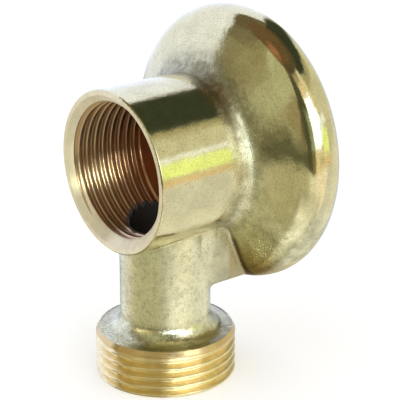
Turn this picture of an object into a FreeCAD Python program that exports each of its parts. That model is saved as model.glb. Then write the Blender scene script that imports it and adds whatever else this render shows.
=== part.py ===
"""Brass wall plate elbow, cast in one piece, in millimetres.

A hollow domed plate stands against the wall. A threaded socket points out of its middle, and a
neck hangs below the socket and ends in a threaded outlet. A web as wide as the neck ties the neck
to the plate. The origin is the centre of the plate's wall face. The socket points along -Y, into
the room, and +Z is up.
"""

import FreeCAD
import Part

import math
import os

from FreeCAD import Vector

# Pipe thread G 3/4 of the socket and the outlet. The turns are left out: the socket's wall is at
# the crests of its thread, and the outlet's wall is at the crests of its own.
SOCKET_THREAD_MINOR_DIAMETER = 25.0
OUTLET_THREAD_MAJOR_DIAMETER = 26.44

# Plate: a dome with a round rim, ground flat where it meets the wall
PLATE_DIAMETER = 52.2
RIM_HEIGHT = 4.7
RIM_FRONT_RADIUS = 6.0
RIM_BACK_RADIUS = 5.7
FACE_SLOPE_DEG = 24.0

# Hollow behind the plate
WALL_FACE_WIDTH = 3.0
RECESS_DRAFT_DEG = 6.0
RECESS_CORNER_RADIUS = 3.0
PLATE_WALL = 3.0

# Boss that holds the socket: it widens a little towards its mouth
PROJECTION = 33.6
BOSS_MOUTH_DIAMETER = 30.5
BOSS_ROOT_DIAMETER = 29.8
BOSS_ROOT_FILLET = 3.0
MOUTH_EDGE_RADIUS = 0.3

# Socket
SOCKET_DEPTH = 19.0
SOCKET_LEAD_IN = 1.7
SOCKET_END_RADIUS = 0.8

# Neck, outlet and the waterway through both
NECK_FROM_WALL = 21.7
NECK_DIAMETER = 17.0
NECK_FOOT_FILLET = 3.0
OUTLET_DROP = 42.2
OUTLET_LENGTH = 9.2
OUTLET_SHOULDER_CHAMFER = 0.6
OUTLET_END_CHAMFER = 0.45
CHAMFER_STEEPNESS = 1.6
WATERWAY_DIAMETER = 13.0
WATERWAY_EDGE_CHAMFER = 0.5

# Web between the neck and the plate
WEB_SIDE_INSET = 0.3
WEB_ABOVE_RIM = 0.9
WEB_CORNER_RADIUS = 4.0
WEB_NECK_FILLET = 1.2
CAST_FILLET = 0.8

TOUCH = 1e-4


def rounded_corner(before, corner, after, radius):
    """The start, middle and end of the arc that rounds a corner between two straight lines."""
    back = (before - corner).normalize()
    on = (after - corner).normalize()
    half_angle = back.getAngle(on) / 2
    setback = radius / math.tan(half_angle)
    bisector = (back + on).normalize()
    centre = corner + bisector * (radius / math.sin(half_angle))
    return corner + back * setback, centre - bisector * radius, corner + on * setback


def outline(corners):
    """A closed face from corners, each a point and the radius of its round, or 0 where it is sharp."""
    count = len(corners)
    ends = []
    edges = []
    for i, (corner, radius) in enumerate(corners):
        if radius:
            start, middle, end = rounded_corner(
                corners[i - 1][0], corner, corners[(i + 1) % count][0], radius)
            edges.append(Part.Arc(start, middle, end).toShape())
        else:
            start = end = corner
        ends.append((start, end))
    for i in range(count):
        edges.append(Part.makeLine(ends[i][1], ends[(i + 1) % count][0]))
    return Part.Face(Part.Wire(Part.__sortEdges__(edges)))


def from_wall(radius, height):
    """A point of a profile that turns about the socket's axis, at a height above the wall."""
    return Vector(radius, -height, 0)


def below_axis(radius, drop):
    """A point of a profile that turns about the neck's axis, at a drop below the socket's axis."""
    return Vector(radius, -NECK_FROM_WALL, -drop)


def turned_about_socket(face):
    return face.revolve(Vector(0, 0, 0), Vector(0, 1, 0), 360)


def turned_about_neck(face):
    return face.revolve(Vector(0, -NECK_FROM_WALL, 0), Vector(0, 0, 1), 360)


def rim_point(tube_radius, angle_deg):
    """A point on the rim's round: 0 degrees is the widest circle, 90 faces the room."""
    angle = math.radians(angle_deg)
    plate_radius = PLATE_DIAMETER / 2
    return from_wall(
        plate_radius - tube_radius + tube_radius * math.cos(angle),
        RIM_HEIGHT + tube_radius * math.sin(angle))


def face_height(radius):
    """Height above the wall of the plate's sloping face, carried on inwards or outwards."""
    edge = rim_point(RIM_FRONT_RADIUS, 90 - FACE_SLOPE_DEG)
    return -edge.y + (edge.x - radius) * math.tan(math.radians(FACE_SLOPE_DEG))


def wall_contact_radius():
    """Where the rim's back round meets the wall."""
    lean = math.asin(RIM_HEIGHT / RIM_BACK_RADIUS)
    return PLATE_DIAMETER / 2 - RIM_BACK_RADIUS * (1 - math.cos(lean))


def plate_and_boss():
    """The dome and the boss as one turned form. The rim is two arcs that meet at its widest circle."""
    back_lean = math.degrees(math.asin(RIM_HEIGHT / RIM_BACK_RADIUS))
    wall_edge = from_wall(wall_contact_radius(), 0)
    widest = rim_point(RIM_FRONT_RADIUS, 0)
    face_edge = rim_point(RIM_FRONT_RADIUS, 90 - FACE_SLOPE_DEG)
    root_radius = BOSS_ROOT_DIAMETER / 2
    root = from_wall(root_radius, face_height(root_radius))
    mouth = from_wall(BOSS_MOUTH_DIAMETER / 2, PROJECTION)
    axis_at_wall = from_wall(0, 0)
    axis_at_mouth = from_wall(0, PROJECTION)
    root_start, root_middle, root_end = rounded_corner(face_edge, root, mouth, BOSS_ROOT_FILLET)
    lip_start, lip_middle, lip_end = rounded_corner(root, mouth, axis_at_mouth, MOUTH_EDGE_RADIUS)
    edges = [
        Part.makeLine(axis_at_wall, wall_edge),
        Part.Arc(wall_edge, rim_point(RIM_BACK_RADIUS, -back_lean / 2), widest).toShape(),
        Part.Arc(widest, rim_point(RIM_FRONT_RADIUS, 45 - FACE_SLOPE_DEG / 2), face_edge).toShape(),
        Part.makeLine(face_edge, root_start),
        Part.Arc(root_start, root_middle, root_end).toShape(),
        Part.makeLine(root_end, lip_start),
        Part.Arc(lip_start, lip_middle, lip_end).toShape(),
        Part.makeLine(lip_end, axis_at_mouth),
        Part.makeLine(axis_at_mouth, axis_at_wall),
    ]
    return turned_about_socket(Part.Face(Part.Wire(edges)))


def neck_and_outlet():
    """The neck from the socket's axis down to the outlet, which stands out on a rounded foot."""
    neck_radius = NECK_DIAMETER / 2
    thread_radius = OUTLET_THREAD_MAJOR_DIAMETER / 2
    shoulder = OUTLET_DROP - OUTLET_LENGTH
    shoulder_run = OUTLET_SHOULDER_CHAMFER * CHAMFER_STEEPNESS
    end_run = OUTLET_END_CHAMFER * CHAMFER_STEEPNESS
    return turned_about_neck(outline([
        (below_axis(0, 0), 0),
        (below_axis(neck_radius, 0), 0),
        (below_axis(neck_radius, shoulder), NECK_FOOT_FILLET),
        (below_axis(thread_radius - OUTLET_SHOULDER_CHAMFER, shoulder), 0),
        (below_axis(thread_radius, shoulder + shoulder_run), 0),
        (below_axis(thread_radius, OUTLET_DROP - end_run), 0),
        (below_axis(thread_radius - OUTLET_END_CHAMFER, OUTLET_DROP), 0),
        (below_axis(0, OUTLET_DROP), 0),
    ]))


def web():
    """The web from the neck's axis back into the plate, with its lower corners rounded."""
    side = NECK_DIAMETER / 2 - WEB_SIDE_INSET
    underside = PLATE_DIAMETER / 2 - WEB_ABOVE_RIM
    section = outline([
        (below_axis(side, 0), 0),
        (below_axis(side, underside), WEB_CORNER_RADIUS),
        (below_axis(-side, underside), WEB_CORNER_RADIUS),
        (below_axis(-side, 0), 0),
    ])
    return section.extrude(Vector(0, NECK_FROM_WALL - RIM_HEIGHT, 0))


def seams(joined, first, second):
    """The edges of a joined solid where the surfaces of the two solids in it meet."""
    found = []
    for edge in joined.Edges:
        points = [Part.Vertex(p) for p in edge.discretize(5)]
        if all(p.distToShape(shell)[0] < TOUCH
               for p in points for shell in (first.Shells[0], second.Shells[0])):
            found.append(edge)
    return found


def joined_with_fillet(first, second, radius):
    joined = first.fuse(second).removeSplitter()
    return joined.makeFillet(radius, seams(joined, first, second))


def socket():
    """The blind socket: a lead-in cone, then the wall at the crests of its thread."""
    wall_radius = SOCKET_THREAD_MINOR_DIAMETER / 2
    return turned_about_socket(outline([
        (from_wall(0, PROJECTION), 0),
        (from_wall(wall_radius + SOCKET_LEAD_IN, PROJECTION), 0),
        (from_wall(wall_radius, PROJECTION - SOCKET_LEAD_IN), 0),
        (from_wall(wall_radius, PROJECTION - SOCKET_DEPTH), SOCKET_END_RADIUS),
        (from_wall(0, PROJECTION - SOCKET_DEPTH), 0),
    ]))


def waterway():
    """The bore from the outlet's end up into the socket."""
    bore_radius = WATERWAY_DIAMETER / 2
    return turned_about_neck(outline([
        (below_axis(0, 0), 0),
        (below_axis(bore_radius, 0), 0),
        (below_axis(bore_radius, OUTLET_DROP - WATERWAY_EDGE_CHAMFER), 0),
        (below_axis(bore_radius + WATERWAY_EDGE_CHAMFER, OUTLET_DROP), 0),
        (below_axis(0, OUTLET_DROP), 0),
    ]))


def recess():
    """The hollow behind the plate, with drafted sides and a roof that follows the face and the socket."""
    mouth_radius = wall_contact_radius() - WALL_FACE_WIDTH
    draft = math.tan(math.radians(RECESS_DRAFT_DEG))
    slope = math.tan(math.radians(FACE_SLOPE_DEG))
    wall_along_axis = PLATE_WALL / math.cos(math.radians(FACE_SLOPE_DEG))
    roof_at_axis = face_height(0) - wall_along_axis
    roof_height = PROJECTION - SOCKET_DEPTH - PLATE_WALL
    roof_radius = (roof_at_axis - roof_height) / slope
    side_height = (roof_at_axis - mouth_radius * slope) / (1 - draft * slope)
    side_radius = mouth_radius - side_height * draft
    return turned_about_socket(outline([
        (from_wall(0, 0), 0),
        (from_wall(mouth_radius, 0), 0),
        (from_wall(side_radius, side_height), RECESS_CORNER_RADIUS),
        (from_wall(roof_radius, roof_height), 0),
        (from_wall(0, roof_height), 0),
    ]))


def elbow():
    outlet = joined_with_fillet(neck_and_outlet(), web(), WEB_NECK_FILLET)
    casting = joined_with_fillet(plate_and_boss(), outlet, CAST_FILLET)
    return casting.cut(recess()).cut(socket()).cut(waterway())


def main():
    os.makedirs("parts", exist_ok=True)
    body = elbow()
    print("valid", body.isValid(), "solids", len(body.Solids), "volume", round(body.Volume, 1))
    body.exportStep("parts/elbow_body.step")


main()
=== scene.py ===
"""Looks of the wall plate elbow: its cut threads, its brass and its white studio."""

import bisect
import math

import bmesh
import bpy
import numpy as np
from mathutils import Matrix, Vector


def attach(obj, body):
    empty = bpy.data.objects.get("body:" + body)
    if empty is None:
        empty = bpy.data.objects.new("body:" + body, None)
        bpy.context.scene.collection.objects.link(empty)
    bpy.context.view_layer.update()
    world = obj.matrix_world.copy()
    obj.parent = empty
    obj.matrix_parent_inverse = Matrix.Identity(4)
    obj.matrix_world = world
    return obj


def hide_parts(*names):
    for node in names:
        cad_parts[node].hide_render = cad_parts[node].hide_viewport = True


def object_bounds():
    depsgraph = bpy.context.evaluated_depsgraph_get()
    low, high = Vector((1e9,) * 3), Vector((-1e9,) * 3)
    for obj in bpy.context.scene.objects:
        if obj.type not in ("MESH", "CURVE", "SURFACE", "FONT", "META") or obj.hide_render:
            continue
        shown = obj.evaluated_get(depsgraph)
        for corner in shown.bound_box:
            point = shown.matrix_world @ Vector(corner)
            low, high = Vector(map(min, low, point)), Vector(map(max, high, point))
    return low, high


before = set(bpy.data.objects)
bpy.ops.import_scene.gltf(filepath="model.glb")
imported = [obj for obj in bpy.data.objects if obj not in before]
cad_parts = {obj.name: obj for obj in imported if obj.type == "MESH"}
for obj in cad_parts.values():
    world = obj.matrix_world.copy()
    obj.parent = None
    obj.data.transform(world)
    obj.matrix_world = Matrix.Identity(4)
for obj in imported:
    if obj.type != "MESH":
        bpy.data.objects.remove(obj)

CAD_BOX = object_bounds()
MM = 0.001

# The turned surfaces of the solid, in millimetres: the plate and boss about the socket's axis, the
# neck and outlet about the neck's axis
PLATE_RADIUS = 26.1
RIM_HEIGHT = 4.7
RIM_FRONT_RADIUS = 6.0
RIM_BACK_RADIUS = 5.7
FACE_SLOPE = math.radians(24)
PROJECTION = 33.6
BOSS_MOUTH_RADIUS = 15.25
BOSS_ROOT_RADIUS = 14.9
BOSS_ROOT_FILLET = 3.0
MOUTH_EDGE_RADIUS = 0.3
SOCKET_CREST_RADIUS = 12.5
SOCKET_LEAD_IN = 1.7
SOCKET_DEPTH = 19.0
NECK_FROM_WALL = 21.7
NECK_RADIUS = 8.5
NECK_FOOT_FILLET = 3.0
OUTLET_CREST_RADIUS = 13.22
OUTLET_DROP = 42.2
OUTLET_LENGTH = 9.2
SHOULDER_CHAMFER = 0.6
END_CHAMFER = 0.45
CHAMFER_STEEPNESS = 1.6
WATERWAY_RADIUS = 6.5
WATERWAY_EDGE_CHAMFER = 0.5

# Pipe thread with 14 turns to the inch and 55 degrees between its flanks. The socket's crests are left
# flat by the bore, and the outlet's are round.
THREAD_PITCH = 25.4 / 14
FLANK_LEAN = math.radians(62.5)
SOCKET_CREST_FLAT = 0.58
SOCKET_CREST_ROUND = 0.15
SOCKET_ROOT_ROUND = 0.25
OUTLET_CREST_FLAT = 0.0
OUTLET_CREST_ROUND = 0.249
OUTLET_ROOT_ROUND = 0.249
ROUND_STEPS = 3
FLANK_STEPS = 4
THREAD_SEGMENTS = 180

# Where the threads run: each crest's place is where it stands at its angle round the axis
SOCKET_THREAD_LENGTH = 16.0
SOCKET_FIRST_CREST = 2.1
SOCKET_CREST_ANGLE = math.radians(180)
OUTLET_THREAD_TOP = 8.5
OUTLET_FIRST_CREST = 1.6
OUTLET_CREST_ANGLE = math.radians(-38.4)
RUN_OUT = 1.2

# Cutting: how much is skimmed off the walls, how far the cutters reach past the ends, the outside of the
# outlet's cutter, how often a search is halved and how near points become one
SKIM = 0.02
OVERSHOOT = 0.4
SLEEVE_RADIUS = 16.0
CROSSING_HALVINGS = 16
MERGE_DISTANCE = 0.0005

# Shading: the angle of a sharp edge, how near a corner lies to the turned surface whose normal it takes,
# and the least cosine between that normal and its face's
SHARP_ANGLE = math.radians(38)
ON_SURFACE = 0.004
ON_FACETS = 0.08
SAME_WAY = 0.8
TINY = 1e-9


def thread_turn(crest_flat, crest_round, root_round):
    """One pitch of a thread as (axial places, depths below the crest), from one crest to the next."""
    half = [(0.0, 0.0)]
    for i in range(ROUND_STEPS + 1):
        lean = FLANK_LEAN * i / ROUND_STEPS
        half.append((crest_flat / 2 + crest_round * math.sin(lean), crest_round * (1 - math.cos(lean))))
    top = half[-1]
    run = THREAD_PITCH / 2 - top[0] - root_round * math.sin(FLANK_LEAN)
    for i in range(1, FLANK_STEPS):
        along = run * i / FLANK_STEPS
        half.append((top[0] + along, top[1] + along * math.tan(FLANK_LEAN)))
    deepest = top[1] + run * math.tan(FLANK_LEAN) + root_round * (1 - math.cos(FLANK_LEAN))
    for i in range(ROUND_STEPS, -1, -1):
        lean = FLANK_LEAN * i / ROUND_STEPS
        half.append((
            THREAD_PITCH / 2 - root_round * math.sin(lean), deepest - root_round * (1 - math.cos(lean))))
    if not crest_flat:
        half.pop(0)
    back = [(THREAD_PITCH - along, depth) for along, depth in reversed(half[:-1])]
    places, depths = zip(*half, *back)
    return list(places), list(depths)


def thread_depth(turn, along):
    """Depth below the crest at a distance along the axis from a crest."""
    places, depths = turn
    along %= THREAD_PITCH
    k = min(max(bisect.bisect_right(places, along), 1), len(places) - 1)
    share = (along - places[k - 1]) / (places[k] - places[k - 1])
    return depths[k - 1] + (depths[k] - depths[k - 1]) * share


def crossing(excess, low, high):
    """Where a function changes sign."""
    low_side = excess(low) > 0
    for _ in range(CROSSING_HALVINGS):
        middle = (low + high) / 2
        if (excess(middle) > 0) == low_side:
            low = middle
        else:
            high = middle
    return (low + high) / 2


def helix_column(places, kinks, wall_at, cut_at, outwards):
    """Points (axial place, radius, on a crease) up one side of a threaded wall.

    The wall is the plain one wherever the thread doesn't reach beyond it. The nearest points are
    moved onto the kinks of the plain wall and onto each crossing of the two."""
    def excess(along):
        return (cut_at(along) - wall_at(along)) * outwards

    places = list(places)
    creases = set()
    for kink in kinks:
        k = min(range(len(places)), key=lambda i: abs(places[i] - kink))
        places[k] = kink
        creases.add(k)
    sides = [excess(along) > 0 for along in places]
    for k in range(len(places) - 1):
        low, high = places[k], places[k + 1]
        if sides[k] == sides[k + 1] or low == high:
            continue
        along = crossing(excess, low, high)
        lower_is_free = k not in creases
        upper_is_free = k + 1 not in creases
        if not lower_is_free and not upper_is_free:
            continue
        upper_is_nearer = along - low > high - along
        moved = k + 1 if not lower_is_free or (upper_is_free and upper_is_nearer) else k
        places[moved] = along
        creases.add(moved)
    choose = max if outwards > 0 else min
    return [(along, choose(wall_at(along), cut_at(along)), k in creases) for k, along in enumerate(places)]


def threaded_wall(bm, place, turn, low, high, crest_at, kinks, wall_at, thread_at, outwards):
    """Adds a wall whose rows follow the helix, and returns its two end circles."""
    first = math.floor((low - crest_at) / THREAD_PITCH) - 2
    last = math.ceil((high - crest_at) / THREAD_PITCH) + 1
    starts = []
    for k in range(first, last + 1):
        starts += [crest_at + k * THREAD_PITCH + along for along in turn[0][:-1]]
    ends = {}
    grid = []
    creases = set()
    for j in range(THREAD_SEGMENTS):
        angle = 2 * math.pi * j / THREAD_SEGMENTS
        rise = THREAD_PITCH * j / THREAD_SEGMENTS

        def cut_at(along):
            return thread_at(along, thread_depth(turn, along - crest_at - rise))

        column = []
        places = [min(max(start + rise, low), high) for start in starts]
        for along, radius, crease in helix_column(places, kinks, wall_at, cut_at, outwards):
            end = low if along <= low else high if along >= high else None
            if end is not None and (j, end) in ends:
                column.append(ends[j, end])
                continue
            vert = bm.verts.new(place(radius, angle, along))
            column.append(vert)
            if end is not None:
                ends[j, end] = vert
            elif crease:
                creases.add(vert)
        grid.append(column)
    for j, column in enumerate(grid):
        shift = len(turn[0]) - 1 if j == THREAD_SEGMENTS - 1 else 0
        after = grid[(j + 1) % THREAD_SEGMENTS]
        for k in range(len(starts) - 1 - shift):
            add_patch(bm, [column[k], after[k + shift], after[k + 1 + shift], column[k + 1]], creases)
    return [[ends[j, end] for j in range(THREAD_SEGMENTS)] for end in (low, high)]


def add_patch(bm, corners, creases):
    """Adds a four-cornered face, split along a crease that crosses it, without corners that coincide."""
    loop = [v for i, v in enumerate(corners) if v is not corners[i - 1]]
    if len(loop) < 3:
        return
    if len(loop) == 3:
        bm.faces.new(loop)
        return
    a, b, c, d = loop
    if b in creases and d in creases:
        split = ([a, b, d], [b, c, d])
    else:
        split = ([a, b, c], [a, c, d])
    for corners in split:
        bm.faces.new(corners)


def mesh_object(name, bm, material):
    bmesh.ops.recalc_face_normals(bm, faces=bm.faces)
    mesh = bpy.data.meshes.new(name)
    bm.to_mesh(mesh)
    bm.free()
    mesh.materials.append(material)
    obj = bpy.data.objects.new(name, mesh)
    bpy.context.scene.collection.objects.link(obj)
    return obj


def eased(share):
    """A share from 0 to 1 that sets off slowly and arrives slowly."""
    return share * share * (3 - 2 * share)


def faded(edge, along):
    """1 well inside a thread and 0 at its run-out, which ends at edge."""
    inwards = along - edge if edge < 0 else edge - along
    return eased(min(max(inwards / RUN_OUT, 0), 1))


def socket_cutter(material):
    """A tap: all that the threaded socket takes out of the boss, from its run-out to past the mouth."""
    def place(radius, angle, height):
        return Vector((radius * math.cos(angle), -PROJECTION - height, radius * math.sin(angle))) * MM

    def wall_at(along):
        return SOCKET_CREST_RADIUS + SKIM + max(SOCKET_LEAD_IN + along, 0)

    def thread_at(along, depth):
        return SOCKET_CREST_RADIUS + SKIM + depth * faded(-SOCKET_THREAD_LENGTH, along)

    bm = bmesh.new()
    turned = SOCKET_CREST_ANGLE / (2 * math.pi) * THREAD_PITCH
    turn = thread_turn(SOCKET_CREST_FLAT, SOCKET_CREST_ROUND, SOCKET_ROOT_ROUND)
    ends = threaded_wall(
        bm, place, turn, -SOCKET_THREAD_LENGTH, OVERSHOOT, -SOCKET_FIRST_CREST - turned, [-SOCKET_LEAD_IN],
        wall_at, thread_at, 1)
    for end in ends:
        bm.faces.new(end)
    return mesh_object("socket_cutter", bm, material)


def outlet_cutter(material):
    """A die: all that is cut off the outlet's outside, from past its end to past its shoulder."""
    def place(radius, angle, height):
        return Vector((
            radius * math.cos(angle),
            radius * math.sin(angle) - NECK_FROM_WALL,
            height - OUTLET_DROP)) * MM

    def wall_at(along):
        end = along / CHAMFER_STEEPNESS - END_CHAMFER
        shoulder = (OUTLET_LENGTH - along) / CHAMFER_STEEPNESS - SHOULDER_CHAMFER
        return OUTLET_CREST_RADIUS - SKIM + min(end, shoulder, 0)

    def thread_at(along, depth):
        return OUTLET_CREST_RADIUS - SKIM - depth * faded(OUTLET_THREAD_TOP, along)

    bm = bmesh.new()
    turned = OUTLET_CREST_ANGLE / (2 * math.pi) * THREAD_PITCH
    low = -OVERSHOOT
    high = OUTLET_LENGTH + OVERSHOOT
    kinks = [END_CHAMFER * CHAMFER_STEEPNESS, OUTLET_LENGTH - SHOULDER_CHAMFER * CHAMFER_STEEPNESS]
    turn = thread_turn(OUTLET_CREST_FLAT, OUTLET_CREST_ROUND, OUTLET_ROOT_ROUND)
    ends = threaded_wall(
        bm, place, turn, low, high, OUTLET_LENGTH - OUTLET_FIRST_CREST - turned, kinks,
        wall_at, thread_at, -1)
    outer = []
    for height in (low, high):
        outer.append([
            bm.verts.new(place(SLEEVE_RADIUS, 2 * math.pi * j / THREAD_SEGMENTS, height))
            for j in range(THREAD_SEGMENTS)])
    for inside, outside in ((ends[0], outer[0]), (outer[0], outer[1]), (outer[1], ends[1])):
        for j in range(THREAD_SEGMENTS):
            k = (j + 1) % THREAD_SEGMENTS
            bm.faces.new([inside[j], inside[k], outside[k], outside[j]])
    return mesh_object("outlet_cutter", bm, material)


def round_between(before, corner, after, radius):
    """The ends and the centre of the arc that rounds a corner."""
    before, corner, after = (np.array(p) for p in (before, corner, after))
    back = (before - corner) / np.linalg.norm(before - corner)
    on = (after - corner) / np.linalg.norm(after - corner)
    half = math.acos(np.dot(back, on)) / 2
    middle = (back + on) / np.linalg.norm(back + on)
    setback = radius / math.tan(half)
    return corner + back * setback, corner + on * setback, corner + middle * radius / math.sin(half)


def plate_profile():
    """The stretches of the plate and boss, each its start, its end and its arc's centre or None.

    A point is a radius and a height above the wall."""
    lean = math.asin(RIM_HEIGHT / RIM_BACK_RADIUS)
    back_centre = (PLATE_RADIUS - RIM_BACK_RADIUS, RIM_HEIGHT)
    front_centre = (PLATE_RADIUS - RIM_FRONT_RADIUS, RIM_HEIGHT)
    wall_edge = (back_centre[0] + RIM_BACK_RADIUS * math.cos(lean), 0)
    widest = (PLATE_RADIUS, RIM_HEIGHT)
    face_edge = (
        front_centre[0] + RIM_FRONT_RADIUS * math.sin(FACE_SLOPE),
        RIM_HEIGHT + RIM_FRONT_RADIUS * math.cos(FACE_SLOPE))
    root = (BOSS_ROOT_RADIUS, face_edge[1] + (face_edge[0] - BOSS_ROOT_RADIUS) * math.tan(FACE_SLOPE))
    mouth = (BOSS_MOUTH_RADIUS, PROJECTION)
    fillet_start, fillet_end, fillet_centre = round_between(face_edge, root, mouth, BOSS_ROOT_FILLET)
    lip_start, lip_end, lip_centre = round_between(root, mouth, (0, PROJECTION), MOUTH_EDGE_RADIUS)
    return [
        ((0, 0), wall_edge, None),
        (wall_edge, widest, back_centre),
        (widest, face_edge, front_centre),
        (face_edge, fillet_start, None),
        (fillet_start, fillet_end, fillet_centre),
        (fillet_end, lip_start, None),
        (lip_start, lip_end, lip_centre),
        (lip_end, (0, PROJECTION), None),
    ]


def neck_profile():
    """The neck and outlet in the same form, by radius and height above the outlet's end."""
    foot = (NECK_RADIUS, OUTLET_LENGTH)
    shoulder_edge = (OUTLET_CREST_RADIUS, OUTLET_LENGTH)
    top = (NECK_RADIUS, OUTLET_DROP)
    fillet_start, fillet_end, fillet_centre = round_between(shoulder_edge, foot, top, NECK_FOOT_FILLET)
    return [
        ((0, 0), (OUTLET_CREST_RADIUS, 0), None),
        (shoulder_edge, fillet_start, None),
        (fillet_start, fillet_end, fillet_centre),
        (fillet_end, top, None),
    ]


def exact_normals(points, face_normals, axis_point, axis, profile, tolerance):
    """Exact normals of a turned surface at corners that lie on it, and which corners do.

    A corner takes the normal of the stretch of the profile that faces nearest its own face's way."""
    offset = points - axis_point
    height = offset @ axis
    radial = offset - np.outer(height, axis)
    radius = np.linalg.norm(radial, axis=1)
    radial /= np.maximum(radius, TINY)[:, None]
    place = np.column_stack([radius, height])
    facing = np.column_stack([np.einsum("ij,ij->i", face_normals, radial), face_normals @ axis])
    best = np.full(len(points), SAME_WAY)
    found = np.zeros((len(points), 2))
    for start, end, centre in profile:
        start, end = np.array(start), np.array(end)
        if centre is None:
            along = (end - start) / np.linalg.norm(end - start)
            normal = np.tile([along[1], -along[0]], (len(points), 1))
            gap = np.abs(np.einsum("ij,ij->i", place - start, normal))
        else:
            arm = place - np.array(centre)
            reach = np.maximum(np.linalg.norm(arm, axis=1), TINY)
            gap = np.abs(reach - np.linalg.norm(start - np.array(centre)))
            normal = arm / reach[:, None]
        low = np.minimum(start, end) - tolerance
        high = np.maximum(start, end) + tolerance
        inside = np.all((place >= low) & (place <= high), axis=1) & (gap < tolerance)
        alike = np.einsum("ij,ij->i", normal, facing)
        normal = np.where(alike < 0, -1, 1)[:, None] * normal
        better = inside & (np.abs(alike) > best)
        best[better] = np.abs(alike)[better]
        found[better] = normal[better]
    return found[:, :1] * radial + found[:, 1:] * axis, best > SAME_WAY


def read_all(items, name, width, kind=float):
    """One property of all items of a mesh, a row of numbers for each."""
    values = np.zeros(len(items) * width, kind)
    items.foreach_get(name, values)
    return values.reshape(-1, width)


def shade_exactly(mesh):
    """Smooth shading with the exact normals of the turned surfaces, so that their reflections run true."""
    mesh.shade_smooth()
    mesh.set_sharp_from_angle(angle=SHARP_ANGLE)
    corners = read_all(mesh.corner_normals, "vector", 3)
    owner = read_all(mesh.loops, "vertex_index", 1, int).ravel()
    points = read_all(mesh.vertices, "co", 3)[owner] / MM
    sizes = read_all(mesh.polygons, "loop_total", 1, int).ravel()
    facing = np.repeat(read_all(mesh.polygons, "normal", 3), sizes, axis=0)
    outlet_end = np.array((0, -NECK_FROM_WALL, -OUTLET_DROP))
    up = np.array((0.0, 0, 1))
    waterway = [((WATERWAY_RADIUS, WATERWAY_EDGE_CHAMFER), (WATERWAY_RADIUS, OUTLET_DROP), None)]
    turned = (
        (np.zeros(3), np.array((0.0, -1, 0)), plate_profile(), ON_SURFACE),
        (outlet_end, up, neck_profile(), ON_SURFACE),
        (outlet_end, up, waterway, ON_FACETS),
    )
    for axis_point, axis, profile, tolerance in turned:
        normals, exact = exact_normals(points, facing, axis_point, axis, profile, tolerance)
        corners[exact] = normals[exact]
    mesh.normals_split_custom_set(corners)


def threaded_elbow(cast, socket_metal, outlet_metal):
    """The solid's own surface with both threads cut into it."""
    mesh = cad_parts["elbow_body"].data.copy()
    mesh.materials.clear()
    mesh.materials.append(cast)
    bm = bmesh.new()
    bm.from_mesh(mesh)
    bmesh.ops.remove_doubles(bm, verts=bm.verts, dist=MERGE_DISTANCE * MM)
    bm.to_mesh(mesh)
    bm.free()
    elbow = bpy.data.objects.new("elbow", mesh)
    bpy.context.scene.collection.objects.link(elbow)
    cutters = [socket_cutter(socket_metal), outlet_cutter(outlet_metal)]
    for cutter in cutters:
        cut = elbow.modifiers.new(cutter.name, "BOOLEAN")
        cut.operation = "DIFFERENCE"
        cut.solver = "EXACT"
        cut.material_mode = "TRANSFER"
        cut.object = cutter
    graph = bpy.context.evaluated_depsgraph_get()
    cut_mesh = bpy.data.meshes.new_from_object(elbow.evaluated_get(graph))
    elbow.modifiers.clear()
    elbow.data = cut_mesh
    for cutter in cutters:
        bpy.data.objects.remove(cutter)
    shade_exactly(cut_mesh)
    return elbow


# Limits that sort the cut faces by their middles, in millimetres
FLUSH = 0.02
ON_CONE = 0.05
LIP_WIDTH = 0.2
BORE_REACH = 7.1
BORE_TOP = -9.0
SOCKET_FOOT = -12.1


def metal_at(centre):
    """The metal of a face that no cutter settles: at the mouth, the socket's end, the bore or an end."""
    x, y, z = centre / MM
    from_socket = math.hypot(x, z)
    from_neck = math.hypot(x, y + NECK_FROM_WALL)
    behind_mouth = y + PROJECTION
    lead_in = SOCKET_CREST_RADIUS + SOCKET_LEAD_IN - behind_mouth
    if behind_mouth < SOCKET_LEAD_IN and lead_in - ON_CONE < from_socket < BOSS_MOUTH_RADIUS - LIP_WIDTH:
        flush = abs(from_socket - lead_in) < ON_CONE or behind_mouth < FLUSH
        return "mouth" if flush else "socket"
    if from_neck < BORE_REACH and FLUSH - OUTLET_DROP < z < BORE_TOP:
        return "bore"
    in_socket = from_socket < SOCKET_CREST_RADIUS + ON_FACETS and behind_mouth < SOCKET_DEPTH + FLUSH
    if in_socket and z > SOCKET_FOOT:
        return "socket"
    if z < FLUSH - OUTLET_DROP or y > -FLUSH:
        return "outlet"
    return None


def sort_cut_faces(elbow, metals):
    """Gives the faces that no cutter settles their metals."""
    for name in ("mouth", "bore"):
        elbow.data.materials.append(metals[name])
    slots = list(elbow.data.materials)
    for face in elbow.data.polygons:
        metal = metal_at(np.array(face.center))
        if metal:
            face.material_index = slots.index(metals[metal])


def add(tree, kind, settings=(), **inputs):
    """A new node with settings, and with inputs that are constants or outputs of other nodes."""
    made = tree.nodes.new("ShaderNode" + kind)
    for name, value in dict(settings).items():
        setattr(made, name, value)
    for name, value in inputs.items():
        join(tree, value, made.inputs[name.replace("_", " ")])
    return made


def join(tree, value, socket):
    """Feeds an input from another node's output, or sets it to a constant."""
    if isinstance(value, bpy.types.NodeSocket):
        tree.links.new(value, socket)
    else:
        socket.default_value = value


def worked_out(tree, kind, operation, values):
    """The outputs of a node that works out one operation on its inputs."""
    made = add(tree, kind, {"operation": operation})
    for value, socket in zip(values, made.inputs):
        join(tree, value, socket)
    return made.outputs


def sums(tree, operation, *values):
    """Values put together one after another by Math nodes."""
    result = values[0]
    for value in values[1:]:
        result = worked_out(tree, "Math", operation, [result, value])[0]
    return result


def times(tree, *values):
    """The product of several values."""
    return sums(tree, "MULTIPLY", *values)


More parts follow.
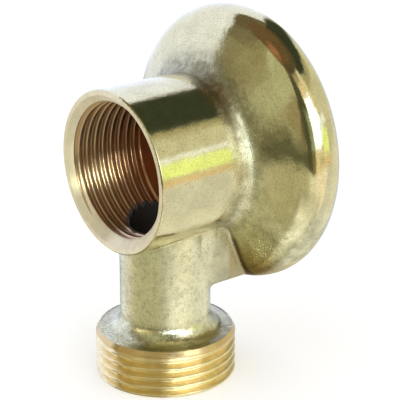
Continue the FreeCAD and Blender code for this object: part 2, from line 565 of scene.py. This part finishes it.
def ramp(tree, value, low, high, start=0.0, end=1.0):
    """A value carried smoothly from one range to another. The first range may run backwards."""
    made = add(
        tree, "MapRange", {"interpolation_type": "SMOOTHSTEP"},
        Value=value, From_Min=low, From_Max=high, To_Min=start, To_Max=end)
    return made.outputs["Result"]


# Where a Mix node has its factor, its two values and its result, by the kind of its values
MIX_SOCKETS = {"FLOAT": (0, 2, 3, 0), "RGBA": (0, 6, 7, 2)}


def mix(tree, kind, *values):
    """The output of a Mix node from a share and two values."""
    made = add(tree, "Mix", {"data_type": kind})
    *places, result = MIX_SOCKETS[kind]
    for value, place in zip(values, places):
        join(tree, value, made.inputs[place])
    return made.outputs[result]


def mixed(tree, share, first, second):
    """A share of the second number, and the rest of the first."""
    return mix(tree, "FLOAT", share, first, second)


def blend(tree, share, first, second):
    """A share of the second colour, and the rest of the first. A constant colour is red, green and blue."""
    colours = [(*colour, 1) if isinstance(colour, tuple) else colour for colour in (first, second)]
    return mix(tree, "RGBA", share, *colours)


def noise(tree, place, scale, detail, roughness):
    """A texture from its scale per millimetre, its detail and its roughness."""
    made = add(tree, "TexNoise", Vector=place, Scale=scale, Detail=detail, Roughness=roughness)
    return made.outputs["Fac"]


def round_axis(tree, place, point, axis):
    """The vector along the circle round an axis, and that circle's radius, which is its length."""
    arm = worked_out(tree, "VectorMath", "SUBTRACT", [place, point])["Vector"]
    circle = worked_out(tree, "VectorMath", "CROSS_PRODUCT", [arm, axis])["Vector"]
    return circle, worked_out(tree, "VectorMath", "LENGTH", [circle])["Value"]


def new_material(name):
    """A metal, with its tree, its shader and its place on the object in millimetres."""
    material = bpy.data.materials.new(name)
    material.use_nodes = True
    tree = material.node_tree
    shader = tree.nodes["Principled BSDF"]
    shader.inputs["Metallic"].default_value = 1
    coords = add(tree, "TexCoord").outputs["Object"]
    place = add(tree, "VectorMath", {"operation": "SCALE"}, Vector=coords, Scale=1 / MM).outputs["Vector"]
    return material, tree, shader, place


RELIEF_UNIT = 0.01


def raise_relief(tree, shader, strength, height):
    """Bumps from a height in hundredths of a millimetre."""
    bump = add(tree, "Bump", Strength=strength, Distance=RELIEF_UNIT * MM, Height=height)
    tree.links.new(bump.outputs["Normal"], shader.inputs["Normal"])


# An axis as a point on it and its direction
SOCKET_AXIS = ((0, 0, 0), (0, 1, 0))
NECK_AXIS = ((0, -NECK_FROM_WALL, 0), (0, 0, 1))

# Textures of the casting: scale per millimetre, detail and roughness. The streaks run round the plate, so
# their place has its own scale across them and along them.
CAST_TEXTURES = {
    "mottle": (0.3, 5.0, 0.62),
    "blotch": (0.9, 3.0, 0.6),
    "grain": (2.4, 3.0, 0.6),
    "fine": (3.8, 2.0, 0.6),
    "wobble": (0.35, 2.0, 0.5),
}
STREAK_TEXTURE = (1.0, 2.0, 0.5)
STREAKS_ACROSS = 3.5
STREAKS_ALONG = 0.25
CREVICE_REACH = 2.0
CREVICE_SAMPLES = 6

# Shares of the casting's looks, each made by an operation on measures, textures and shares above it. One
# that stands in brackets goes through a ramp: where it is none and where it is all, in millimetres or as
# a texture's value, and then what none and all stand for, if that isn't 0 and 1.
CAST_SHARES = [
    ("plate", "MULTIPLY", [("radius", 26.8, 26.2), ("depth", -13.4, -12.4)]),
    ("face", "MULTIPLY", ["plate", ("height", -13.0, -4.0), ("radius", 16.0, 20.0)]),
    ("rim", "MULTIPLY", ["face", ("radius", 22.0, 24.0)]),
    ("boss", "MULTIPLY", [("radius", 15.6, 15.3), ("depth", -16.5, -18.5)]),
    ("buffed", "MAXIMUM", ["face", "boss"]),
    ("fillet", "MULTIPLY", [("radius", 20.5, 16.2), ("depth", -18.5, -15.5)]),
    ("root", "MULTIPLY", ["fillet", ("radius", 17.4, 16.0)]),
    ("foot", "MULTIPLY", [("height", -29.5, -31.0)]),
    ("lower plate", "MULTIPLY", ["plate", ("height", -22.0, -8.0)]),
    ("satin", "MAXIMUM", ["fillet", "foot", "lower plate"]),
    ("light skin", "MULTIPLY", [("mottle", 0.36, 0.64)]),
    ("light polish", "MULTIPLY", [("mottle", 0.35, 0.65)]),
    # The neck's front and right side, between its foot and the boss, painted lighter where the light falls
    # on it
    ("neck", "MULTIPLY", [
        ("height", -31.0, -29.0), ("height", -12.0, -15.0), ("depth", -14.0, -19.0, 0.0, 0.65),
        ("sideways", -5.5, 1.0)]),
    # Tarnish in the fillet, with painted shade on its upper side: a painted dark reflection of the ceiling
    ("tarnish and shade", "MULTIPLY", ["fillet", ("blotch", 0.3, 0.7, 0.35, 0.75), ("height", 1.0, 11.0)]),
    ("grime", "MULTIPLY", [("fine", 0.42, 0.66), ("buffed", 0.0, 1.0, 0.24, 0.28)]),
    ("scratches", "MULTIPLY", ["face", ("streak", 0.5, 0.66, 0.0, 0.17), ("rim", 0.0, 1.0, 1.0, 0.2)]),
    ("clouds", "MULTIPLY", [("blotch", 0.48, 0.64), ("buffed", 0.0, 1.0, 0.3, 0.0)]),
    ("pits", "MULTIPLY", [("grain", 0.58, 0.68), ("blotch", 0.42, 0.58), ("buffed", 0.0, 1.0, 0.55, 0.0)]),
    ("specks", "MULTIPLY", ["buffed", ("grain", 0.66, 0.71, 0.0, 0.7)]),
    ("root specks", "MULTIPLY", ["root", ("fine", 0.50, 0.62, 0.0, 0.35)]),
    ("pits and specks", "MAXIMUM", ["pits", "specks", "root specks"]),
    # Golden brown low on the plate, near its middle
    ("low plate brown", "MULTIPLY", ["plate", ("height", -12.0, -22.0, 0.0, 0.95), ("aside", 18.0, 11.0)]),
    # Painted shade along the crease where the web meets the plate
    ("crease", "MULTIPLY", [
        "plate", ("over face", 17.4, 18.2), ("height", -14.0, -16.0), ("aside", 8.25, 8.5),
        ("aside", 9.9, 8.9, 0.0, 0.85)]),
    ("web", "MULTIPLY", [
        ("depth", -19.0, -14.0), ("height", -13.0, -16.0, 0.0, 0.55), ("aside", 8.6, 8.3)]),
    ("granules", "MULTIPLY", [
        ("height", -32.4, -32.9), ("grain", 0.40, 0.62, 0.25, 0.95), ("depth", -25.0, -17.0, 1.0, 0.3)]),
    # A painted dark line along the back of the shoulder's outer edge: a painted reflection
    ("painted edge line", "MULTIPLY", [
        "foot", ("neck radius", 12.05, 12.35), ("blotch", 0.38, 0.54, 0.1, 0.95), ("depth", -32.0, -24.0),
        ("sideways", 1.0, 6.0, 1.0, 0.15)]),
    # Darker where the ambient occlusion finds little open air: dirt in the crevices, with painted shade
    ("crevice dirt and shade", "MULTIPLY", [("openness", 0.86, 0.50)]),
    ("polish lines", "MULTIPLY", ["streak", "face", ("rim", 0.0, 1.0, 1.4, 0.1)]),
]

# Colours of the casting: its stains, with painted light on the neck's lit side and painted shade on the
# fillet's top, in the web's crease, in the crevices and on the shoulder's edge. Each lies over those before
# it.
DARK_SKIN = (0.56, 0.525, 0.32)
LIGHT_SKIN = (0.81, 0.77, 0.50)
# Painted light: the lighter skin of the neck's lit front and right side
PAINTED_LIGHT_NECK_SKIN = (0.88, 0.855, 0.575)
DARK_POLISH = (0.67, 0.60, 0.34)
LIGHT_POLISH = (0.75, 0.68, 0.395)
CAST_STAINS_AND_SHADE = [
    # Tarnish, and painted shade on the fillet's top
    ("tarnish and shade", (0.155, 0.113, 0.052)),
    ("grime", (0.22, 0.19, 0.105)),
    ("scratches", (0.30, 0.26, 0.14)),
    ("clouds", (0.36, 0.335, 0.185)),
    ("pits and specks", (0.13, 0.105, 0.055)),
    # Golden brown low on the plate
    ("low plate brown", (0.47, 0.335, 0.115)),
    # Painted shade in the web's crease
    ("crease", (0.10, 0.075, 0.035)),
    ("web", (0.36, 0.345, 0.22)),
    ("granules", (0.33, 0.30, 0.16)),
    # Painted dark reflection on the shoulder's edge
    ("painted edge line", (0.05, 0.045, 0.03)),
    # Dirt and painted shade in the crevices
    ("crevice dirt and shade", (0.16, 0.125, 0.055)),
]

# Roughness of the casting's finishes: the texture that varies it, its lowest and its highest value
CAST_FINISHES = {
    "dull": ("grain", 0.25, 0.36),
    "soft": ("grain", 0.15, 0.25),
    "blasted": ("grain", 0.34, 0.46),
    "keen": ("streak", 0.09, 0.14),
}
FINISH_SPREAD = (0.3, 0.7)
RIM_ROUGHNESS = 0.08

# Heights of the casting's relief, in its unit
SKIN_RELIEF = 5.0
SATIN_RELIEF = 3.0
FOOT_RELIEF = 7.0
BUFFED_RELIEF = 0.6
ROOT_RELIEF_GAIN = 1.7
WOBBLE_RELIEF = 5.0
PIT_RELIEF = 3.0


def cast_measures(tree, place):
    """All that the casting's looks go by, by name: places in millimetres, textures and shares."""
    parts = add(tree, "SeparateXYZ", Vector=place).outputs
    sampling = {"samples": CREVICE_SAMPLES, "only_local": True}
    open_air = add(tree, "AmbientOcclusion", sampling, Distance=CREVICE_REACH * MM)
    at = {
        "sideways": parts["X"],
        "depth": parts["Y"],
        "height": parts["Z"],
        "aside": worked_out(tree, "Math", "ABSOLUTE", [parts["X"]])[0],
        "radius": round_axis(tree, place, *SOCKET_AXIS)[1],
        "neck radius": round_axis(tree, place, *NECK_AXIS)[1],
        "openness": open_air.outputs["AO"],
    }
    at["over face"] = sums(tree, "SUBTRACT", times(tree, at["radius"], math.tan(FACE_SLOPE)), at["depth"])
    for name, texture in CAST_TEXTURES.items():
        at[name] = noise(tree, place, *texture)
    round_plate = add(
        tree, "CombineXYZ", X=times(tree, at["radius"], STREAKS_ACROSS),
        Y=times(tree, at["sideways"], STREAKS_ALONG), Z=times(tree, at["height"], STREAKS_ALONG))
    at["streak"] = noise(tree, round_plate.outputs[0], *STREAK_TEXTURE)
    for name, operation, members in CAST_SHARES:
        values = []
        for member in members:
            if isinstance(member, str):
                values.append(at[member])
            else:
                values.append(ramp(tree, at[member[0]], *member[1:]))
        at[name] = sums(tree, operation, *values)
    return at


def cast_colour(tree, at):
    skin = blend(tree, at["light skin"], DARK_SKIN, LIGHT_SKIN)
    # Painted light on the neck's lit side
    skin = blend(tree, at["neck"], skin, PAINTED_LIGHT_NECK_SKIN)
    polish = blend(tree, at["light polish"], DARK_POLISH, LIGHT_POLISH)
    colour = blend(tree, at["buffed"], skin, polish)
    for name, tone in CAST_STAINS_AND_SHADE:
        colour = blend(tree, at[name], colour, tone)
    return colour


def cast_roughness(tree, at):
    finish = {}
    for name, (texture, lowest, highest) in CAST_FINISHES.items():
        finish[name] = ramp(tree, at[texture], *FINISH_SPREAD, lowest, highest)
    rough = mixed(tree, at["satin"], finish["dull"], finish["soft"])
    rough = mixed(tree, at["root"], rough, finish["blasted"])
    keen = mixed(tree, at["rim"], finish["keen"], RIM_ROUGHNESS)
    return mixed(tree, at["buffed"], rough, keen)


def cast_relief(tree, at):
    satin = mixed(tree, at["foot"], SATIN_RELIEF, FOOT_RELIEF)
    height = mixed(tree, at["satin"], SKIN_RELIEF, satin)
    height = mixed(tree, at["buffed"], height, BUFFED_RELIEF)
    roughcast = times(tree, at["grain"], height, mixed(tree, at["root"], 1.0, ROOT_RELIEF_GAIN))
    wobble = times(tree, at["wobble"], WOBBLE_RELIEF)
    relief = sums(tree, "ADD", roughcast, at["polish lines"], wobble)
    return sums(tree, "SUBTRACT", relief, times(tree, at["pits"], PIT_RELIEF))


def cast_brass():
    """The casting's skin: buffed on the boss and the upper plate, satin in its fillets, rough elsewhere."""
    material, tree, shader, place = new_material("cast_brass")
    at = cast_measures(tree, place)
    tree.links.new(cast_colour(tree, at), shader.inputs["Base Color"])
    tree.links.new(cast_roughness(tree, at), shader.inputs["Roughness"])
    raise_relief(tree, shader, 1.0, cast_relief(tree, at))
    return material


# Cut metal: the unevenness of its colour, and its tool lines, which lie a quarter turn from where the
# shader would draw its highlights out
TINT_TEXTURE = (0.6, 3.0, 0.5)
TINT_SPREAD = (0.35, 0.65)
DARK_TINT = 0.93
LIGHT_TINT = 1.03
TOOL_LINE_TEXTURE = (6.0, 2.0, 0.5)
TOOL_LINE_STRENGTH = 0.3
QUARTER_TURN = 0.25


def turned_brass(name, axis, surface, metallic, roughness, drawn_out, stains_and_shade=()):
    """Cut metal, whose fine tool lines run round an axis and draw its highlights out across them.

    Each of its stains and painted shades is (what it goes by, start, end, colour): the radius, the depth
    along Y or the height."""
    material, tree, shader, place = new_material(name)
    shader.inputs["Metallic"].default_value = metallic
    shader.inputs["Roughness"].default_value = roughness
    shader.inputs["Anisotropic"].default_value = drawn_out
    shader.inputs["Anisotropic Rotation"].default_value = QUARTER_TURN
    point, direction = axis
    lines, radius = round_axis(tree, place, point, direction)
    tree.links.new(lines, shader.inputs["Tangent"])
    parts = add(tree, "SeparateXYZ", Vector=place).outputs
    at = {"radius": radius, "depth": parts["Y"], "height": parts["Z"]}
    tint = ramp(tree, noise(tree, place, *TINT_TEXTURE), *TINT_SPREAD)
    dark = tuple(c * DARK_TINT for c in surface)
    light = tuple(c * LIGHT_TINT for c in surface)
    colour = blend(tree, tint, dark, light)
    for measure, low, high, tone in stains_and_shade:
        colour = blend(tree, ramp(tree, at[measure], low, high), colour, tone)
    tree.links.new(colour, shader.inputs["Base Color"])
    along = worked_out(tree, "VectorMath", "DOT_PRODUCT", [place, direction])["Value"]
    across_lines = add(tree, "CombineXYZ", X=radius, Y=along).outputs[0]
    raise_relief(tree, shader, TOOL_LINE_STRENGTH, noise(tree, across_lines, *TOOL_LINE_TEXTURE))
    return material


def shade_dark_bore():
    """The waterway's wall, painted dark as the shade deep in the hole."""
    material, _, shader, _ = new_material("shade_dark_bore")
    shader.inputs["Base Color"].default_value = (0.07, 0.064, 0.056, 1)
    shader.inputs["Metallic"].default_value = 0
    shader.inputs["Roughness"].default_value = 0.9
    return material


# Painted shade in the socket: browner in the thread's grooves, and darker and redder deeper in
SOCKET_PAINTED_SHADE = [
    ("radius", 12.56, 12.75, (0.60, 0.39, 0.24)),
    ("depth", -30.0, -18.0, (0.50, 0.27, 0.16)),
]
OUTLET_STAINS = [("height", -34.7, -33.9, (0.66, 0.48, 0.22))]
METALS = {
    "cast": cast_brass(),
    "mouth": turned_brass(
        "mouth_brass", SOCKET_AXIS, (0.79, 0.70, 0.47), metallic=0.4, roughness=0.40, drawn_out=1.0),
    "socket": turned_brass(
        "socket_brass", SOCKET_AXIS, (0.76, 0.60, 0.40), metallic=1.0, roughness=0.30, drawn_out=0.8,
        stains_and_shade=SOCKET_PAINTED_SHADE),
    "outlet": turned_brass(
        "outlet_brass", NECK_AXIS, (0.87, 0.72, 0.385), metallic=1.0, roughness=0.26, drawn_out=1.0,
        stains_and_shade=OUTLET_STAINS),
    # The waterway's wall is painted shade
    "bore": shade_dark_bore(),
}
elbow = threaded_elbow(METALS["cast"], METALS["socket"], METALS["outlet"])
sort_cut_faces(elbow, METALS)
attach(elbow, "root")
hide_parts("elbow_body")

# The studio as the metal sees it: (name, corners, softness of the edge, light). A corner is an
# azimuth and an elevation in degrees: azimuth 0 is the side the socket faces, and 90 the side of the
# camera's right hand. Each area lies over those before it.
SURROUND = [
    ("walls", [(-400, -100), (400, -100), (400, 100), (-400, 100)], 1, (0.90, 0.92, 0.94)),
    ("far table", [(150, -6), (190, -4), (190, -64), (150, -64)], 16, (1.02, 1.02, 1.00)),
    ("far wall", [(190, 6), (236, 4), (236, -66), (190, -66)], 16, (0.76, 0.73, 0.55)),
    ("left wall", [(-152, 8), (-138, -4), (-122, -28), (-122, -40), (-170, -40), (-165, 0)], 12,
     (0.80, 0.87, 0.98)),
    ("front", [(-60, -18), (84, -18), (84, 74), (-60, 74)], 6, (0.36, 0.34, 0.23)),
    ("table", [(-62, -13), (62, -13), (66, -100), (-62, -100)], 16, (0.61, 0.59, 0.425)),
    ("table's right", [(62, -15), (90, -15), (90, -100), (62, -100)], 34, (1.05, 1.04, 0.90)),
    ("table's shade", [(-128, -38), (-60, -44), (-40, -100), (-128, -100)], 10, (0.19, 0.155, 0.075)),
    ("low cream", [(81, -10), (124, -10), (118, -44), (84, -44)], 12, (1.26, 1.18, 1.08)),
    ("tan wall", [(112, 48), (135, 50), (150, 46), (170, 42), (190, 32), (208, 16), (196, 8), (160, -4),
                  (118, -8)], 8, (0.84, 0.83, 0.70)),
    ("tan wall's top", [(118, 52), (150, 46), (172, 40), (190, 31), (180, 27), (165, 31), (148, 37),
                        (122, 42)], 8, (0.56, 0.53, 0.35)),
    ("flag", [(118, 59), (124, 53), (136, 48.5), (150, 43.5), (170, 39.5), (186, 31), (198, 24), (210, 10),
              (218, 0), (216, 24), (215, 64), (118, 64)], 5, (0.055, 0.068, 0.045)),
    ("lintel", [(-147, 38), (-30, 38), (-26, 72), (-147, 72)], 3, (0.20, 0.165, 0.105)),
    ("window's side", [(-52, 68), (-24, 68), (-22, 40), (-28, 22), (-48, 22)], 14, (0.25, 0.23, 0.155)),
    ("window", [(-145, 47), (-135, 51), (-112, 49.5), (-90, 53), (-70, 54), (-58, 50), (-50, 42), (-45, 28),
                (-42, 12), (-40, -10), (-46, -28), (-90, -32), (-120, -28), (-134, -8), (-142, 14)], 3.5,
     (1.13, 1.24, 1.68)),
    ("sill", [(-38, -14), (-74, -16), (-74, -34), (-42, -34)], 7, (0.90, 0.86, 0.84)),
    ("window's foot", [(-126, 14), (-104, 18), (-98, -18), (-116, -20)], 18, (1.16, 1.30, 1.80)),
    ("left table", [(-120, -12), (-95, -12), (-89, -36), (-120, -36)], 10, (0.44, 0.49, 0.47)),
    ("front wall", [(-30, 2), (-28, 24), (-16, 44), (-8, 60), (0, 70), (44, 66), (57, 54), (61, 40),
                    (60, 2)], 9, (0.63, 0.65, 0.485)),
    ("front wall's left", [(-34, 8), (-20, 6), (-4, 30), (2, 68), (-12, 68), (-26, 40)], 18,
     (0.40, 0.365, 0.235)),
    ("front wall's foot", [(-2, 4), (24, 24), (50, 42), (58, 30), (58, 4)], 8, (0.45, 0.40, 0.255)),
    ("front wall's corner", [(44, 6), (52, 34), (62, 46), (64, 2), (46, 0)], 10, (0.20, 0.165, 0.10)),
    ("dusk's top", [(-14, -2), (20, 0), (50, 9), (80, 6), (80, -14), (60, -12), (40, -9.5), (20, -11),
                    (-14, -11)], 8, (0.27, 0.26, 0.165)),
    ("dusk", [(-14, -5), (20, -4), (50, -1), (80, -3), (80, -14), (60, -12), (40, -10), (20, -13),
              (-14, -13.5)], 4, (0.15, 0.155, 0.10)),
    ("gap", [(56, 57), (70, 60), (79, 44), (81.5, 20), (81, -10), (74, -17), (58, -12), (54, 20)], 5,
     (0.115, 0.115, 0.07)),
    ("gap's glint", [(70, 30), (83, 29), (83, -2), (71, 0)], 7, (0.37, 0.47, 0.35)),
    ("gap's foot", [(70, -2), (83, -2), (83, -16), (72, -14)], 6, (0.30, 0.27, 0.12)),
    ("cream", [(81.5, 57), (117, 58), (124, 47), (118, -13), (82, -18)], 5, (1.08, 0.94, 0.70)),
    ("cream's top", [(80, 66), (108, 66), (104, 52), (82, 50)], 8, (0.50, 0.47, 0.32)),
    ("lamp", [(83, 41), (110, 42), (115, 31), (126, 15), (112, 5), (103, 0), (83, 2)], 4,
     (1.65, 1.85, 2.60)),
    ("lamp's core", [(86, 36), (106, 37), (110, 26), (109, 9), (86, 7)], 6, (3.4, 3.6, 3.9)),
    ("card", [(113, 9), (127, 14), (140, 8), (136, -3), (115, -3)], 4, (1.22, 1.46, 0.62)),
    ("white card", [(112, 12.5), (128, 15.5), (142, 13), (142, 18.5), (129, 20), (112, 17)], 3,
     (1.25, 1.36, 1.60)),
    ("grey card", [(96, -3.5), (115, -3.5), (115, -9.5), (96, -9.5)], 3, (0.72, 0.69, 0.46)),
    ("orange card", [(113, -5), (142, -5), (142, -12), (113, -12)], 4, (1.05, 0.84, 0.56)),
    ("ceiling", [(-400, 62), (-150, 62), (-110, 66), (-40, 67), (-10, 70), (10, 70.5), (30, 67), (48, 62.5),
                 (62, 58), (90, 61), (120, 61), (150, 60), (215, 60), (400, 62), (400, 100),
                 (-400, 100)], 5, (0.195, 0.128, 0.07)),
    ("warm ceiling", [(-16, 84), (30, 87), (72, 82), (60, 73), (40, 68.5), (14, 71)], 12,
     (0.48, 0.235, 0.14)),
    ("ceiling's shade", [(62, 60), (66, 66), (95, 68), (215, 66), (215, 59), (100, 60)], 5,
     (0.125, 0.10, 0.06)),
]
SURROUND_DISTANCE = 1.0
SURROUND_STEP = 1.0

# The lit stretch of table: how far from the outlet's axis it lies, in millimetres, its azimuths in
# degrees, the widths over which it fades at its left, its right and its far end, and its light
LIT_REACH = (14.0, 95.0)
LIT_AZIMUTHS = (40.0, 116.0)
LIT_LEFT_FADE = 26.0
LIT_RIGHT_FADE = 14.0
LIT_FAR_FADE = 45.0
LIT_LIFT = 0.1
LIT_ROWS = 12
LIT_COLUMNS = 24
LIT_LIGHT = (1.22, 1.22, 1.15)

FLOOR_RADIUS = 900.0
FLOOR_SEGMENTS = 96
FLOOR_WHITE = (0.92, 0.92, 0.92, 1)
FLOOR_GLOW = 0.2

# Lamps: how far off they stand, the radius of the patch that they light and their own radius, in
# millimetres, and how much of that patch its soft edge takes up
SOCKET_SPOT_SIZE = (160, 4.5, 4)
OUTLET_SPOT_SIZE = (250, 16, 20)
FILLET_SPOT_SIZE = (85, 5, 3)
SPOT_BLEND = 0.5

# Lamps on the socket's left wall: (elevation, how deep behind the mouth they aim, energy)
SOCKET_SPOTS = [(2, 9, 0.15), (9, 7, 0.2), (16, 5, 0.5), (23, 4.5, 0.65), (30, 4.5, 0.35)]
SOCKET_SPOT_AZIMUTH = 50
SOCKET_AIM_X = -11.5
SOCKET_AIM_Z = -3.0
SOCKET_COLOUR = (0.90, 1.0, 0.84)

# Lamps on the outlet's thread, cool ones from the right and warm ones from the front: (azimuth, energy)
COOL_SPOTS = [(46, 0.05), (52, 0.12), (58, 0.25), (64, 0.38), (70, 0.45), (77, 0.45), (84, 0.4)]
WARM_SPOTS = [(-26, 0.05), (-18, 0.05), (-10, 0.05), (-2, 0.05), (6, 0.05), (14, 0.05)]
OUTLET_ELEVATION = 10
OUTLET_AIM = (3.0, -3.0 - NECK_FROM_WALL, -38.0)
COOL_COLOUR = (0.74, 0.84, 1.0)
WARM_COLOUR = (1.0, 0.80, 0.55)

# Lamps on the fillet at the boss's root: (elevation, energy). The higher a lamp, the higher it aims.
FILLET_SPOTS = [(-22, 0.018), (-4, 0.03), (14, 0.045), (32, 0.055), (48, 0.045)]
FILLET_SPOT_AZIMUTH = 62
FILLET_AIM_RADIUS = 15.3
FILLET_AIM_Y = -14.2
FILLET_AIM_Z = 3.0
FILLET_AIM_RISE = 0.135
FILLET_COLOUR = (0.76, 0.88, 1.0)

# The photograph's viewpoint: its heading and its roll in degrees, its place and its lens in millimetres
VIEW_AZIMUTH = 51.56
VIEW_ELEVATION = 20.94
VIEW_ROLL = -0.16
VIEW_PLACE = (247.7, -209.9, 111.0)
VIEW_LENS = 162.5
VIEW_SENSOR = 36


def heading(azimuth, elevation):
    """The direction at an azimuth and an elevation in degrees, or the directions at arrays of both."""
    a, e = np.broadcast_arrays(np.radians(azimuth), np.radians(elevation))
    return np.stack([np.sin(a) * np.cos(e), -np.cos(a) * np.cos(e), np.sin(e)], axis=-1)


def share_within(azimuth, elevation, corners, softness):
    """How much of an area covers each direction: 1 inside its edge and 0 outside, with a soft change."""
    corners = np.array(corners, float)
    centre = (corners[:, 0].min() + corners[:, 0].max()) / 2
    place = np.stack([(azimuth - centre + 180) % 360 - 180 + centre, elevation], axis=-1)
    nearest = np.full(azimuth.shape, np.inf)
    inside = np.zeros(azimuth.shape, bool)
    for start, end in zip(corners, np.roll(corners, -1, axis=0)):
        edge = end - start
        arm = place - start
        along = np.clip(arm @ edge / (edge @ edge), 0, 1)
        nearest = np.minimum(nearest, np.linalg.norm(arm - along[..., None] * edge, axis=-1))
        spans = (start[1] > elevation) != (end[1] > elevation)
        rise = edge[1] if edge[1] else 1
        inside ^= spans & (arm[..., 0] < edge[0] * arm[..., 1] / rise)
    return eased(np.clip(np.where(inside, nearest, -nearest) / softness + 0.5, 0, 1))


def glow_material(name):
    """A material that shines with the light on its mesh, and is clear where that light's cover is 0."""
    material = bpy.data.materials.new(name)
    material.use_nodes = True
    material.cycles.emission_sampling = "NONE"
    tree = material.node_tree
    tree.nodes.remove(tree.nodes["Principled BSDF"])
    light = add(tree, "Attribute", {"attribute_name": "light"})
    glow = add(tree, "Emission", Color=light.outputs["Color"])
    clear = add(tree, "BsdfTransparent")
    both = add(tree, "MixShader", Fac=light.outputs["Alpha"])
    tree.links.new(clear.outputs[0], both.inputs[1])
    tree.links.new(glow.outputs[0], both.inputs[2])
    tree.links.new(both.outputs[0], tree.nodes["Material Output"].inputs["Surface"])
    return material


def glowing_grid(name, points, light, cover, closed):
    """A grid of points with a light and its cover at each, which only reflections see."""
    rows, columns = cover.shape
    faces = []
    for i in range(rows - 1):
        for j in range(columns if closed else columns - 1):
            k = (j + 1) % columns
            faces.append((i * columns + j, i * columns + k, (i + 1) * columns + k, (i + 1) * columns + j))
    mesh = bpy.data.meshes.new(name)
    mesh.from_pydata(points.reshape(-1, 3).tolist(), [], faces)
    paint = mesh.attributes.new("light", "FLOAT_COLOR", "POINT")
    paint.data.foreach_set("color", np.dstack([light, cover]).ravel())
    mesh.materials.append(glow_material(name))
    obj = bpy.data.objects.new(name, mesh)
    obj.visible_camera = False
    obj.visible_diffuse = False
    obj.visible_shadow = False
    bpy.context.scene.collection.objects.link(obj)
    return obj


def surround():
    """A dome that only reflections see."""
    rows = int(180 / SURROUND_STEP) + 1
    columns = int(360 / SURROUND_STEP)
    elevation, azimuth = np.meshgrid(
        np.linspace(-90, 90, rows), np.arange(columns) * SURROUND_STEP - 180, indexing="ij")
    light = np.zeros((rows, columns, 3))
    for _, corners, softness, colour in SURROUND:
        share = share_within(azimuth, elevation, corners, softness)[..., None]
        light = light * (1 - share) + np.array(colour) * share
    points = heading(azimuth, elevation) * SURROUND_DISTANCE
    obj = glowing_grid("surround", points, light, np.ones((rows, columns)), closed=True)


def lit_table():
    """The brightest stretch of the table, beside the outlet, which only reflections see."""
    nearest, farthest = LIT_REACH
    left, right = LIT_AZIMUTHS
    reach, azimuth = np.meshgrid(
        np.linspace(nearest, farthest, LIT_ROWS + 1), np.linspace(left, right, LIT_COLUMNS + 1),
        indexing="ij")
    outlet_foot = np.array((0, -NECK_FROM_WALL, LIT_LIFT - OUTLET_DROP))
    points = (heading(azimuth, 0) * reach[..., None] + outlet_foot) * MM
    cover = np.minimum((azimuth - left) / LIT_LEFT_FADE, (right - azimuth) / LIT_RIGHT_FADE)
    cover = np.minimum(np.minimum(cover, (farthest - reach) / LIT_FAR_FADE), 1)
    obj = glowing_grid("lit_table", points, cover[..., None] * np.array(LIT_LIGHT), cover, closed=False)


def floor():
    """A round white table, wide enough for the whole shadow."""
    bm = bmesh.new()
    bmesh.ops.create_circle(bm, cap_ends=True, segments=FLOOR_SEGMENTS, radius=FLOOR_RADIUS * MM)
    bmesh.ops.translate(bm, verts=bm.verts, vec=(0, 0, CAD_BOX[0].z))
    material = bpy.data.materials.new("floor")
    material.use_nodes = True
    shader = material.node_tree.nodes["Principled BSDF"]
    shader.inputs["Base Color"].default_value = FLOOR_WHITE
    shader.inputs["Roughness"].default_value = 0.9
    shader.inputs["Specular IOR Level"].default_value = 0
    shader.inputs["Emission Color"].default_value = (1, 1, 1, 1)
    shader.inputs["Emission Strength"].default_value = FLOOR_GLOW
    obj = mesh_object("floor", bm, material)
    obj.visible_glossy = False


def spot(name, size, colour, aim, azimuth, elevation, energy):
    """A small round lamp that shines at one place on the metal."""
    distance, patch_radius, lamp_radius = size
    towards = Vector(heading(azimuth, elevation))
    data = bpy.data.lights.new(name, "SPOT")
    data.energy = energy
    data.color = colour
    data.spot_size = 2 * math.atan(patch_radius / distance)
    data.spot_blend = SPOT_BLEND
    data.shadow_soft_size = lamp_radius * MM
    lamp = bpy.data.objects.new(name, data)
    lamp.location = (Vector(aim) + towards * distance) * MM
    lamp.rotation_euler = towards.to_track_quat("Z", "Y").to_euler()
    lamp.visible_camera = False
    bpy.context.scene.collection.objects.link(lamp)


def socket_spots():
    for elevation, depth, energy in SOCKET_SPOTS:
        aim = (SOCKET_AIM_X, depth - PROJECTION, SOCKET_AIM_Z)
        spot("socket_spot", SOCKET_SPOT_SIZE, SOCKET_COLOUR, aim, SOCKET_SPOT_AZIMUTH, elevation, energy)


def outlet_spots():
    for colour, lamps in ((COOL_COLOUR, COOL_SPOTS), (WARM_COLOUR, WARM_SPOTS)):
        for azimuth, energy in lamps:
            spot("outlet_spot", OUTLET_SPOT_SIZE, colour, OUTLET_AIM, azimuth, OUTLET_ELEVATION, energy)


def fillet_spots():
    for elevation, energy in FILLET_SPOTS:
        height = FILLET_AIM_Z + FILLET_AIM_RISE * elevation
        aim = (math.sqrt(FILLET_AIM_RADIUS ** 2 - height ** 2), FILLET_AIM_Y, height)
        spot("fillet_spot", FILLET_SPOT_SIZE, FILLET_COLOUR, aim, FILLET_SPOT_AZIMUTH, elevation, energy)


def white_world():
    """A white background, and colours that are shown as they are."""
    world = bpy.data.worlds.new("studio")
    world.use_nodes = True
    world.node_tree.nodes["Background"].inputs["Color"].default_value = (1, 1, 1, 1)
    bpy.context.scene.world = world
    bpy.context.scene.view_settings.view_transform = "Standard"


def camera():
    """The photograph's own viewpoint."""
    roll = math.radians(VIEW_ROLL)
    back = Vector(heading(VIEW_AZIMUTH, VIEW_ELEVATION))
    right = (-back).cross(Vector((0, 0, 1))).normalized()
    up = right.cross(-back)
    turn = Matrix((
        right * math.cos(roll) + up * math.sin(roll),
        up * math.cos(roll) - right * math.sin(roll),
        back)).transposed()
    data = bpy.data.cameras.new("camera")
    data.lens = VIEW_LENS
    data.sensor_width = VIEW_SENSOR
    obj = bpy.data.objects.new("camera", data)
    obj.matrix_world = Matrix.Translation(Vector(VIEW_PLACE) * MM) @ turn.to_4x4()
    bpy.context.scene.collection.objects.link(obj)
    bpy.context.scene.camera = obj


surround()
floor()
lit_table()
socket_spots()
outlet_spots()
fillet_spots()
white_world()
camera()
